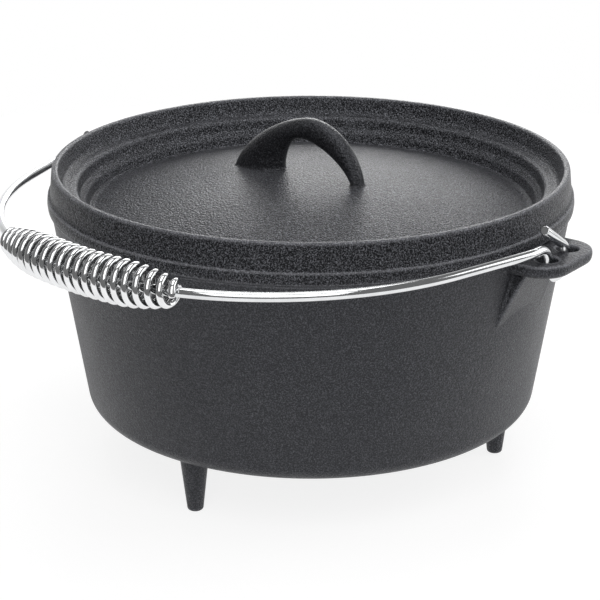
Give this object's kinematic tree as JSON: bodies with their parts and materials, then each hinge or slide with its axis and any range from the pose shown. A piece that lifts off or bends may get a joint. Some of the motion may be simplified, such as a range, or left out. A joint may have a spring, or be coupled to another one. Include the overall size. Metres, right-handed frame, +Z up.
{
  "type": "camp dutch oven",
  "caption": "Cast-iron camp cooking pot on legs, with a lift-off lid whose raised rim holds coals, a cast lid handle, ears, and a swinging wire bail with a coil grip.",
  "frame": {"origin": "on the ground, under the middle of the pot", "axes": "+Z up; +X through the ears' middles, towards the ear on the right of the picture; -Y towards the side on which the bail lies at rest"},
  "size_m": [0.371, 0.3645, 0.2136],
  "materials": {
    "pot_iron": "seasoned, fine-grained casting",
    "lid_iron": "seasoned, sandy casting",
    "bail_wire": "bright plated wire",
    "coil_wire": "bright plated spring wire"
  },
  "bodies": {
    "pot": {"pot": "pot_iron"},
    "lid": {"lid": "lid_iron"},
    "bail": {"bail": "bail_wire"},
    "grip": {"grip": "coil_wire"}
  },
  "joints": [
    {"name": "lid_lift", "type": "slide", "parent": "pot", "child": "lid", "axis": [0, 0, 1], "range_m": [0, 0.25]},
    {"name": "bail_swing", "type": "hinge", "parent": "pot", "child": "bail", "pos_m": [0, 0, 0.1588], "axis": [-1, 0, 0], "range_deg": [-7.5, 90]},
    {"name": "grip_slide", "type": "hinge", "parent": "bail", "child": "grip", "pos_m": [0, -0.03579, 0.1698], "axis": [0, 0, 1], "range_deg": [-41.5, 52.5]}
  ]
}
